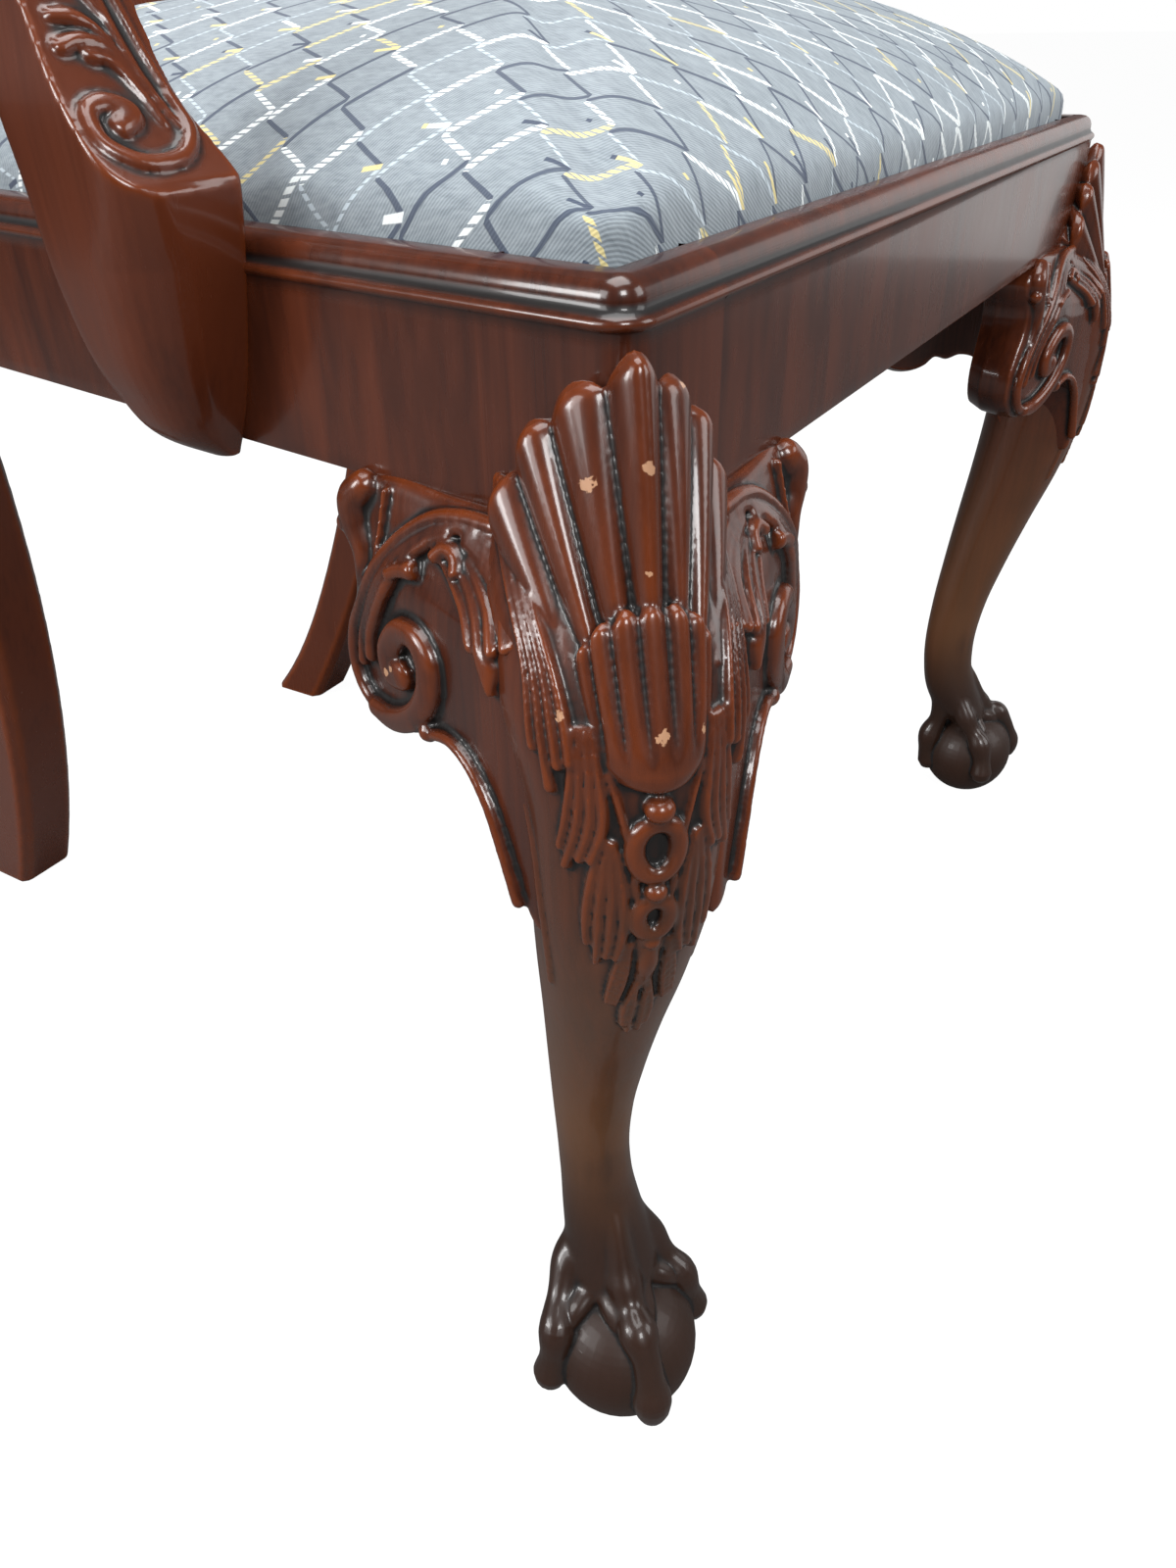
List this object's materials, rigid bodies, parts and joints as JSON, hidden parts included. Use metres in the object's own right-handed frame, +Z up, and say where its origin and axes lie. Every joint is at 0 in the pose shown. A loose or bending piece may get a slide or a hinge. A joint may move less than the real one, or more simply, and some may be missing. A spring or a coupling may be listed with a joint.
{
  "type": "carved open armchair",
  "caption": "Open armchair with pierced splat back, cabriole front legs carved with shells and ball-and-claw feet, and a lift-out padded seat.",
  "frame": {"origin": "on the floor, in the middle of the chair's bounding rectangle", "axes": "+Z up, -Y out of the chair's front, +X to the sitter's left"},
  "size_m": [0.6274, 0.6096, 1.0042],
  "materials": {
    "mahogany": "semi-gloss lacquer",
    "beech": "bare sawn wood",
    "seat_fabric": "figured twill weave",
    "stuffing": "hair and wadding",
    "hessian": "coarse plain weave",
    "webbing": "herringbone linen tape",
    "dust_cloth": "black cambric",
    "blued_steel": "blued",
    "screw_steel": "plain"
  },
  "bodies": {
    "frame": {"arm_left": "mahogany", "arm_right": "mahogany", "arm_screw_plugs": "mahogany", "arm_screws": "screw_steel", "arm_support_left": "mahogany", "arm_support_right": "mahogany", "arm_support_screws": "screw_steel", "back_post_left": "mahogany", "back_post_right": "mahogany", "back_seat_rail": "mahogany", "back_splat": "mahogany", "corner_block_back_left": "beech", "corner_block_back_right": "beech", "corner_block_front_left": "beech", "corner_block_front_right": "beech", "corner_block_screws": "screw_steel", "crest_rail": "mahogany", "front_leg_left": "mahogany", "front_leg_right": "mahogany", "front_seat_rail": "mahogany", "knee_bracket_front_left": "mahogany", "knee_bracket_front_right": "mahogany", "knee_bracket_side_left": "mahogany", "knee_bracket_side_right": "mahogany", "side_seat_rail_left": "mahogany", "side_seat_rail_right": "mahogany", "splat_shoe": "mahogany"},
    "drop_in_seat": {"seat_cover": "seat_fabric", "seat_cover_tacks": "blued_steel", "seat_dust_cover": "dust_cloth", "seat_frame_back": "beech", "seat_frame_dowels": "beech", "seat_frame_front": "beech", "seat_frame_left": "beech", "seat_frame_right": "beech", "seat_hessian": "hessian", "seat_stuffing": "stuffing", "seat_webbing_across": "webbing", "seat_webbing_lengthwise": "webbing"}
  },
  "joints": [
    {"name": "seat_lift", "type": "slide", "parent": "frame", "child": "drop_in_seat", "axis": [0, 0, 1], "range_m": [0, 0.3]}
  ]
}
